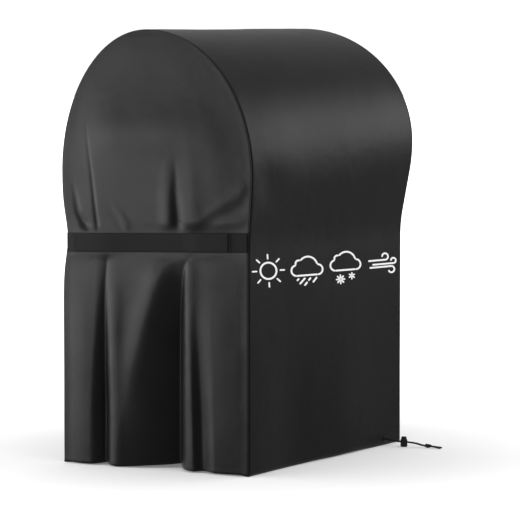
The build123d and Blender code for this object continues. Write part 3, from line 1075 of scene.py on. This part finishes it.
def add_arc(bm, centre, middle, radius, first, last, width, tail=0.0):
    """A stroke round middle from angle first to last in degrees, after a straight tail."""
    turn = 1 if last > first else -1
    bend = abs(radians(last - first)) * radius
    closed = abs(last - first) >= 360

    def line(s):
        angle = radians(first) + turn * max(s - tail, 0) / radius
        way = Vector((-sin(angle), cos(angle))) * turn
        spot = Vector(middle) + Vector((cos(angle), sin(angle))) * radius
        return spot + way * min(s - tail, 0), way

    add_stroke(bm, centre, line, tail + bend, width, max(12, int((tail + bend) * 2.5)), closed)


def print_piece(bm, name, node_name):
    """Makes an ink film of the strokes, in place of its CAD print."""
    ink = finish_mesh(bm, name, INK)
    film = ink.modifiers.new("ink_film", "SOLIDIFY")
    film.thickness = 0.0002
    film.offset = -1.0
    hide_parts(node_name)


def add_cloud(bm, centre, shift_a=0.0, shift_b=0.0):
    lobes = (
        ((10.6, -1.0), 4.85, -92, 97),
        ((0.9, 1.7), 9.3, 14, 145),
        ((-8.3, 4.3), 3.0, 64, 213),
        ((-10.2, -2.4), 5.0, 98, 274),
    )
    for middle, radius, first, last in lobes:
        add_arc(bm, centre, (middle[0] + shift_a, middle[1] + shift_b), radius, first, last, STROKE)
    add_bar(bm, centre, (-10.0 + shift_a, -7.4 + shift_b), (10.4 + shift_a, -5.87 + shift_b), STROKE)


def add_flake(bm, centre, middle, radius, arms, first, width):
    for k in range(arms):
        angle = radians(first + 180 * k / arms)
        reach = Vector((cos(angle), sin(angle))) * (radius - width / 2)
        add_bar(bm, centre, tuple(Vector(middle) - reach), tuple(Vector(middle) + reach), width)


def build_prints():
    sun = (-0.297, 0.500)
    bm = bmesh.new()
    add_arc(bm, sun, (0, 0), 7.6, 0, 360, STROKE)
    for k in range(8):
        angle = radians(3.5 + 45 * k)
        way = Vector((cos(angle), sin(angle)))
        add_bar(bm, sun, tuple(way * 11.2), tuple(way * 15.0), 1.5)
    print_piece(bm, "sun_mark", "sun_print")

    rain = (-0.106, 0.494)
    bm = bmesh.new()
    add_cloud(bm, rain)
    drops = (
        ((-9.3, -11.5), (-8.3, -10.4)),
        ((-6.6, -14.6), (-2.2, -9.7)),
        ((-2.0, -16.0), (0, -13.6)),
        ((1.9, -11.2), (3.3, -9.5)),
        ((6.3, -12.9), (9.4, -9.0)),
    )
    for first, last in drops:
        add_bar(bm, rain, first, last, 1.8)
    print_piece(bm, "rain_cloud_mark", "rain_cloud_print")

    snow = (0.091, 0.487)
    bm = bmesh.new()
    add_cloud(bm, snow, 0.3, 2.7)
    add_flake(bm, snow, (-4.6, -13.0), 5.0, 4, 3.5, 1.5)
    add_flake(bm, snow, (6.9, -9.6), 3.7, 3, 90, 1.4)
    print_piece(bm, "snow_cloud_mark", "snow_cloud_print")

    wind = (0.291, 0.479)
    bm = bmesh.new()
    add_arc(bm, wind, (3.2, 7.4), 3.2, -85, 190, STROKE, 18.5)
    add_arc(bm, wind, (12.2, 3.6), 2.6, -85, 190, STROKE, 23.0)
    add_arc(bm, wind, (10.2, -5.1), 3.1, 95, -165, STROKE, 23.5)
    print_piece(bm, "wind_mark", "wind_print")


build_prints()

# ---- knot and cord lock


def build_knot():
    """The overhand knot that both cord ends are tied in: a wrap of cord round the pair."""
    line_a, line_b = cord_line(STRAND_A), cord_line(STRAND_B)
    low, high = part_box("cord_knot")
    centre = (low + high) / 2
    near_a = min(line_a, key=lambda p: (p - centre).length)
    near_b = min(line_b, key=lambda p: (p - centre).length)
    middle = (near_a + near_b) / 2 + Vector((0, 0, 0.0009))
    onward = middle + Vector((0, -0.012, 0))
    ahead = [min(line, key=lambda p: (p - onward).length) for line in (line_a, line_b)]
    way = ((ahead[0] + ahead[1]) / 2 - middle).normalized()
    across = way.cross(Vector((0, 0, 1))).normalized()
    up = across.cross(way)
    turns, reach, radius = 2.5, 0.0085, 0.0034

    def spine(u):
        """The wrap's middle line: coils round the pair, then a pass back over the coils."""
        if u < 0.75:
            share = u / 0.75
            angle = 2 * pi * turns * share
            along = mix(-reach, reach, share) * 0.75
            out = radius
        else:
            share = (u - 0.75) / 0.25
            angle = 2 * pi * turns + pi * 0.9 * share
            along = mix(reach, -reach, smooth(share)) * 0.75
            out = radius + 0.0012 * sin(pi * share)
        return middle + way * along + (across * cos(angle) + up * sin(angle) * 0.85) * out

    def skin(u, v):
        here = spine(u)
        run = (spine(min(u + 0.004, 1)) - spine(max(u - 0.004, 0))).normalized()
        side_way = run.cross(way).normalized()
        top_way = side_way.cross(run)
        turn = 2 * pi * v
        thick = CORD_DIAMETER / 2 * 0.95
        return here + side_way * thick * cos(turn) + top_way * thick * sin(turn)

    bm = bmesh.new()
    place_grid(bm, 130, 12, skin, (0.09, 0.0125))
    close_tube(bm, turn_out=True)
    knot = finish_mesh(bm, "overhand_knot", CORD_BLACK)
    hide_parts("cord_knot")
    return knot


knot = build_knot()


def build_spring():
    """The lock's open coil, which rides on the lock."""
    low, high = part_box("cord_lock_spring")
    wire, turns, steps = 0.00035, 4, 40
    middle = (low + high) / 2
    reach = (high.x - low.x) / 2 - wire
    bm = bmesh.new()
    place = Matrix.Translation((middle.x + reach, middle.y, low.z + wire)) @ Matrix.Rotation(pi / 2, 4, "X")
    bmesh.ops.create_circle(bm, cap_ends=False, segments=8, radius=wire, matrix=place)
    rise = (high.z - low.z - 2 * wire) / (turns * steps)
    bmesh.ops.spin(
        bm, geom=bm.verts[:] + bm.edges[:], cent=(middle.x, middle.y, 0), axis=(0, 0, 1),
        dvec=(0, 0, rise), angle=2 * pi * turns, steps=turns * steps, use_merge=False,
    )
    bmesh.ops.holes_fill(bm, edges=bm.edges, sides=0)
    bmesh.ops.recalc_face_normals(bm, faces=bm.faces)
    coil = finish_mesh(bm, "lock_coil_spring", SPRING_STEEL, "cord_lock")
    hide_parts("cord_lock_spring")
    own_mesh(coil)


def recolour(node_name, material):
    """Gives a CAD piece its better material."""
    for place in NODES[node_name].material_slots:
        place.material = material


recolour("cord_eyelet", ENAMEL)
recolour("cord_lock_barrel", PLASTIC)
recolour("cord_lock_plunger", PLASTIC)
build_spring()

# ---- stage and light


def stage_material():
    material, tree, shader = new_material("pale_floor", 0.9, Specular_IOR_Level=0.1, Emission_Strength=1.0)
    shader.inputs["Base Color"].default_value = (0.85, 0.85, 0.85, 1)
    place = node(tree, "ShaderNodeTexCoord").outputs["Object"]
    reach = node(tree, "ShaderNodeVectorMath", operation="LENGTH")
    tree.links.new(place, reach.inputs[0])
    ramp = node(tree, "ShaderNodeMapRange", interpolation_type="SMOOTHSTEP")
    for end, distance in (("From Min", 0.5), ("From Max", 2.2)):
        ramp.inputs[end].default_value = distance
    tree.links.new(reach.outputs["Value"], ramp.inputs["Value"])
    # The floor glows: painted light that keeps it white away from the cover; near the cover its glow is
    # low, so that real shadows show.
    painted_glow = shader.inputs["Emission Color"]
    spread(tree, ramp.outputs["Result"], (0.18, 0.18, 0.18), (1.0, 1.0, 1.0), painted_glow)
    return material


def add_floor():
    bm = bmesh.new()
    bmesh.ops.create_circle(bm, cap_ends=True, segments=96, radius=40.0)
    mesh = bpy.data.meshes.new("floor")
    bm.to_mesh(mesh)
    bm.free()
    mesh.materials.append(stage_material())
    floor = bpy.data.objects.new("floor", mesh)
    bpy.context.scene.collection.objects.link(floor)
    floor.visible_diffuse = False
    floor.visible_glossy = False


def add_light(name, place, aim, size, power):
    data = bpy.data.lights.new(name, "AREA")
    data.shape = "RECTANGLE"
    data.size, data.size_y = size
    data.energy = power
    light = bpy.data.objects.new(name, data)
    bpy.context.scene.collection.objects.link(light)
    light.location = place
    way = Vector(aim) - Vector(place)
    light.rotation_euler = way.to_track_quat("-Z", "Y").to_euler()


WORLD_BASE = 0.022
WORLD_LOBES = (
    # way, where it starts and is full (cosines), strength
    ((0.0, 0.10, 1.0), 0.30, 0.95, 0.19),
    ((0.0, 0.0, -1.0), 0.10, 0.65, 0.20),
    ((-0.45, -0.35, 0.80), 0.60, 0.98, 0.40),
    ((0.15, 0.99, 0.15), 0.30, 0.95, 0.40),
    ((0.95, 0.30, 0.15), 0.40, 0.95, 0.30),
)


def world_lobe(tree, place, way, start, full, strength):
    """A soft bright patch of the room towards way."""
    side = node(tree, "ShaderNodeVectorMath", operation="DOT_PRODUCT")
    side.inputs[1].default_value = Vector(way).normalized()
    tree.links.new(place, side.inputs[0])
    ramp = node(tree, "ShaderNodeMapRange", interpolation_type="SMOOTHSTEP")
    ramp.inputs["From Min"].default_value = start
    ramp.inputs["From Max"].default_value = full
    ramp.inputs["To Max"].default_value = strength
    tree.links.new(side.outputs["Value"], ramp.inputs["Value"])
    return ramp.outputs["Result"]


def add_world():
    """A plain white room to look at, lit by broad soft patches."""
    world = bpy.data.worlds.new("white_room")
    world.use_nodes = True
    tree = world.node_tree
    shader = tree.nodes["Background"]
    place = node(tree, "ShaderNodeTexCoord").outputs["Generated"]
    total = WORLD_BASE
    for lobe in WORLD_LOBES:
        total = math_node(tree, "ADD", world_lobe(tree, place, *lobe), total)
    seen = node(tree, "ShaderNodeLightPath")
    for ray, level in (("Is Diffuse Ray", 1.0), ("Is Camera Ray", 1.05)):
        choice = node(tree, "ShaderNodeMix")
        tree.links.new(seen.outputs[ray], choice.inputs["Factor"])
        tree.links.new(total, choice.inputs["A"])
        choice.inputs["B"].default_value = level
        total = choice.outputs["Result"]
    tree.links.new(total, shader.inputs["Strength"])
    shader.inputs["Color"].default_value = (1, 1, 1, 1)
    bpy.context.scene.world = world


add_floor()
add_world()
add_light("left_softbox", (-2.5, 1.55, 0.54), (-0.39, 0.0, 0.55), (1.7, 1.0), 18)
add_light("back_softbox", (-1.1, 2.7, 0.58), (-0.2, 0.0, 0.55), (1.6, 1.05), 20)
add_light("right_softbox", (2.5, -1.75, 1.42), (0.0, -0.26, 0.7), (1.8, 1.15), 12.5)
bpy.context.scene.view_settings.view_transform = "Standard"

# ---- the cords' material; they ride on the cover, in place of the CAD strands
for strand, points, name in (
    (strand_a, STRAND_A, "drawcord_strand_a"),
    (strand_b, STRAND_B, "drawcord_strand_b"),
):
    strand.data.materials.append(CORD_BLACK)
    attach(strand, "cover")
    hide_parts(name)
